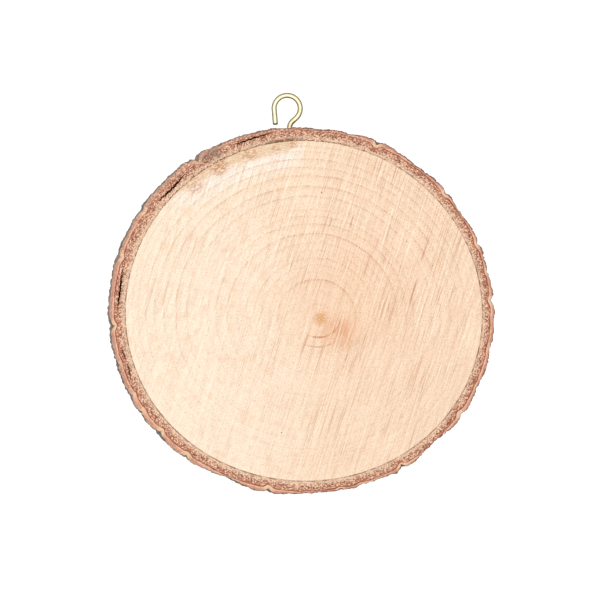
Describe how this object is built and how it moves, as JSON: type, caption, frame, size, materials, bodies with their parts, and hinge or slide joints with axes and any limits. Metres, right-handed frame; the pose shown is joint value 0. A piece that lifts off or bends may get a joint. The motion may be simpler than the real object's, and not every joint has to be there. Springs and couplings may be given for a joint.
{
  "type": "wood slice",
  "caption": "Round slice sawn from a tree trunk, bare on both faces, with its bark on round the rim and a small open brass screw hook in the rim to hang it by.",
  "frame": {"origin": "middle of the slice's sawn back face, which it lies on", "axes": "+Z out of the front face, +Y towards the rim that holds the hook"},
  "size_m": [0.1551, 0.1607, 0.012],
  "materials": {
    "sawn_alder": "fine band-sawn face, pale cream-orange, unfinished",
    "alder_bark": "rough grey-brown skin, red-brown where it is sawn through",
    "brass_wire": "bright, brass-plated"
  },
  "bodies": {
    "root": {"wood_slice": "sawn_alder", "screw_hook": "brass_wire"}
  },
  "joints": []
}
